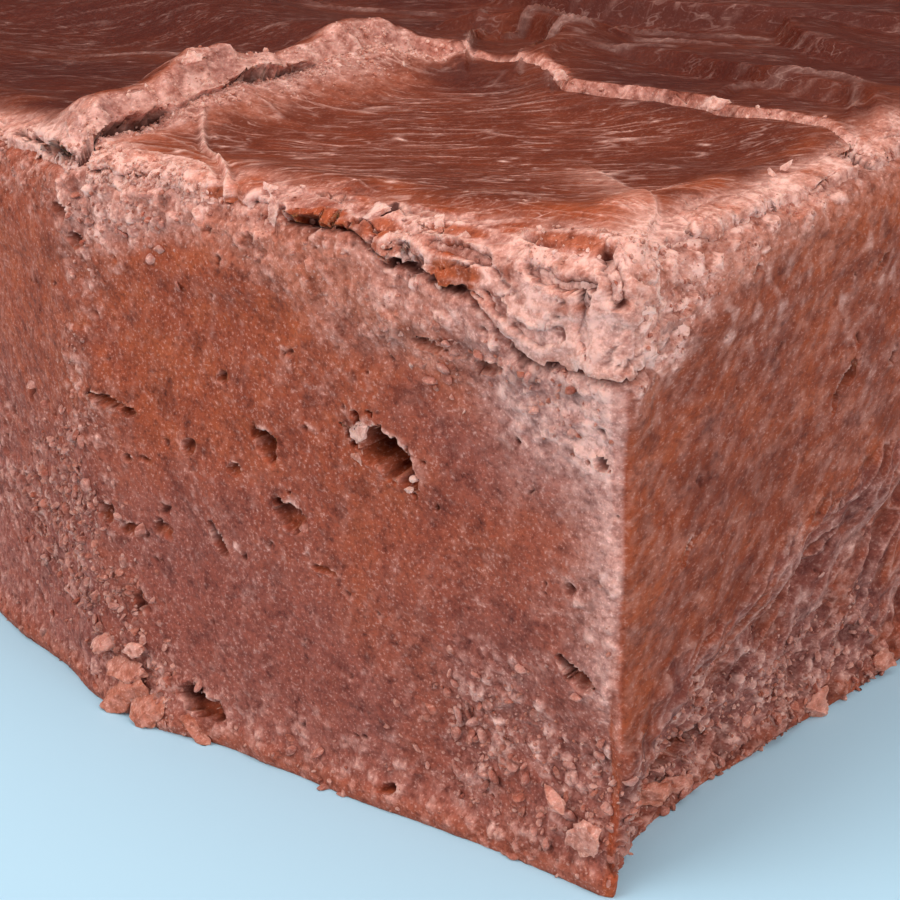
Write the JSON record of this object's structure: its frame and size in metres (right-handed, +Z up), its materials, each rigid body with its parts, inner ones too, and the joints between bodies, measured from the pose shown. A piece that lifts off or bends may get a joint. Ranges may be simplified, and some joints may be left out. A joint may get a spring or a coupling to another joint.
{
  "type": "chocolate fudge",
  "caption": "Hand-cut square slab of chocolate fudge with a folded glossy skin on top, a crumbling rim, pitted cut sides and a crept foot.",
  "frame": {"origin": "on the flat base, at the middle of the slab's box in plan", "axes": "+Z up through the skin; +X along the longest side; -Y out of the front side, which is cut in two strokes that meet at a kink; +X out of the right side, whose foot is broken"},
  "size_m": [0.0689, 0.063, 0.0274],
  "materials": {
    "fudge": "opaque reddish brown sugar paste, faintly waxy on the cut sides, satin on the skin, dusty pink where it crumbles"
  },
  "bodies": {
    "root": {"fudge": "fudge"}
  },
  "joints": []
}
